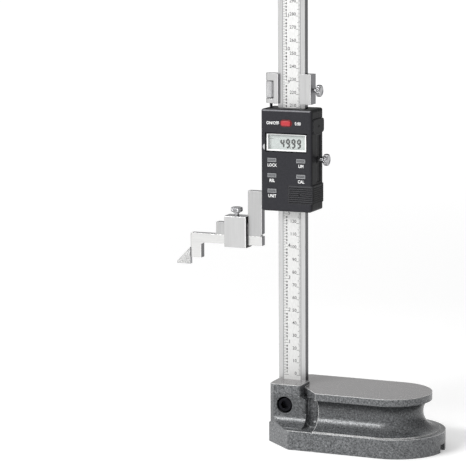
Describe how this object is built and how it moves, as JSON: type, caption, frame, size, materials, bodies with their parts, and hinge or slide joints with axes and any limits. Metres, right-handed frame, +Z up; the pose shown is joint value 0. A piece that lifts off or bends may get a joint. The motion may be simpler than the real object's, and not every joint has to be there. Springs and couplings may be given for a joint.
{
  "type": "digital height gauge",
  "caption": "Height gauge with a cast base, a steel beam with a sliding display unit, a fine-adjust carriage and a clamped scriber, for measuring and marking heights on a surface plate.",
  "frame": {"origin": "on the table, under the middle of the beam's front face", "axes": "+X along the base away from the scriber, +Y away from the viewer, +Z up along the beam"},
  "size_m": [0.2221, 0.078, 0.47],
  "materials": {
    "cast_base": "grey hammered paint, ground top",
    "beam_steel": "satin, ground lengthwise",
    "scale_satin": "satin, engraved",
    "screw_black": "black oxide",
    "screw_steel": "zinc plated",
    "rod_steel": "turned",
    "slider_steel": "satin, ground",
    "plate_steel": "satin",
    "scriber_steel": "fine ground",
    "carbide": "lapped",
    "gib_brass": "satin",
    "knob_chrome": "bright, knurled",
    "case_plastic": "fine grain",
    "cover_plastic": "fine grain",
    "window_clear": "clear",
    "display_frame": "smooth",
    "display_glass": "grey-green",
    "zebra_rubber": "smooth",
    "board_green": "solder mask",
    "switch_metal": "dome",
    "cell_metal": "bright",
    "port_black": "smooth",
    "button_grey": "matt",
    "button_red": "matt"
  },
  "bodies": {
    "stand": {"base_casting": "cast_base", "beam": "beam_steel", "scale_plate": "scale_satin", "beam_clamp_screw": "screw_black", "beam_stop_screw": "screw_steel"},
    "slider": {"slider_frame": "slider_steel", "slider_back_plate": "plate_steel", "back_plate_screws": "screw_steel", "gib_strip": "gib_brass", "gib_screws": "screw_steel", "housing_front": "case_plastic", "housing_rear": "case_plastic", "housing_screws": "screw_steel", "lcd_window": "window_clear", "lcd_frame": "display_frame", "lcd_glass": "display_glass", "lcd_connectors": "zebra_rubber", "main_board": "board_green", "sensor_board": "board_green", "key_switches": "switch_metal", "battery": "cell_metal", "battery_contacts": "gib_brass", "port_connector": "port_black", "fine_screw": "rod_steel"},
    "carriage": {"carriage_frame": "slider_steel", "carriage_pad": "gib_brass"},
    "nut": {"fine_nut": "knob_chrome"},
    "carriage_screw": {"carriage_clamp_screw": "knob_chrome"},
    "lock_screw": {"slider_lock_screw": "knob_chrome"},
    "clamp": {"scriber_clamp": "slider_steel"},
    "clamp_screw": {"scriber_clamp_screw": "knob_chrome"},
    "scriber": {"scriber_bar": "scriber_steel", "carbide_tip": "carbide"},
    "power_key": {"button_power": "button_red"},
    "hold_key": {"button_hold": "button_grey"},
    "abs_key": {"button_abs": "button_grey"},
    "units_key": {"button_units": "button_grey"},
    "tol_key": {"button_tol": "button_grey"},
    "set_key": {"button_set": "button_grey"},
    "battery_door": {"battery_cover": "cover_plastic"},
    "port_door": {"port_cover": "cover_plastic"}
  },
  "joints": [
    {"name": "slider_travel", "type": "slide", "parent": "stand", "child": "slider", "axis": [0, 0, 1], "range_m": [-0.132, 0.17]},
    {"name": "fine_travel", "type": "slide", "parent": "slider", "child": "carriage", "axis": [0, 0, 1], "range_m": [-0.0025, 0.006]},
    {"name": "fine_nut_spin", "type": "hinge", "parent": "carriage", "child": "nut", "pos_m": [-0.01829, 0.003, 0.2737], "axis": [0, 0, 1], "range_deg": [-1810, 4330]},
    {"name": "carriage_clamp_turn", "type": "hinge", "parent": "carriage", "child": "carriage_screw", "pos_m": [0.0199, 0.003, 0.27366], "axis": [1, 0, 0], "range_deg": [0, 720]},
    {"name": "slider_lock_turn", "type": "hinge", "parent": "slider", "child": "lock_screw", "pos_m": [0.0258, 0.003, 0.22077], "axis": [1, 0, 0], "range_deg": [0, 720]},
    {"name": "scriber_clamp_slide", "type": "slide", "parent": "slider", "child": "clamp", "axis": [1, 0, 0], "range_m": [-0.0082, 0.0004]},
    {"name": "scriber_clamp_turn", "type": "hinge", "parent": "clamp", "child": "clamp_screw", "pos_m": [-0.0477, 0.003, 0.1765], "axis": [0, 0, 1], "range_deg": [0, 720]},
    {"name": "scriber_slide", "type": "slide", "parent": "slider", "child": "scriber", "axis": [1, 0, 0], "range_m": [-0.011, 0.012]},
    {"name": "power_press", "type": "slide", "parent": "slider", "child": "power_key", "axis": [0, 1, 0], "range_m": [0, 0.0006], "stiffness_N_per_m": 1000, "springref_m": -0.0005},
    {"name": "hold_press", "type": "slide", "parent": "slider", "child": "hold_key", "axis": [0, 1, 0], "range_m": [0, 0.0006], "stiffness_N_per_m": 1000, "springref_m": -0.0005},
    {"name": "abs_press", "type": "slide", "parent": "slider", "child": "abs_key", "axis": [0, 1, 0], "range_m": [0, 0.0006], "stiffness_N_per_m": 1000, "springref_m": -0.0005},
    {"name": "units_press", "type": "slide", "parent": "slider", "child": "units_key", "axis": [0, 1, 0], "range_m": [0, 0.0006], "stiffness_N_per_m": 1000, "springref_m": -0.0005},
    {"name": "tol_press", "type": "slide", "parent": "slider", "child": "tol_key", "axis": [0, 1, 0], "range_m": [0, 0.0006], "stiffness_N_per_m": 1000, "springref_m": -0.0005},
    {"name": "set_press", "type": "slide", "parent": "slider", "child": "set_key", "axis": [0, 1, 0], "range_m": [0, 0.0006], "stiffness_N_per_m": 1000, "springref_m": -0.0005},
    {"name": "battery_cover_slide", "type": "slide", "parent": "slider", "child": "battery_door", "axis": [1, 0, 0], "range_m": [0, 0.024]},
    {"name": "port_cover_slide", "type": "slide", "parent": "slider", "child": "port_door", "axis": [1, 0, 0], "range_m": [0, 0.008]}
  ],
  "couplings": [
    {"joint": "fine_nut_spin", "follows": "fine_travel", "rad_per_m": 12566}
  ]
}
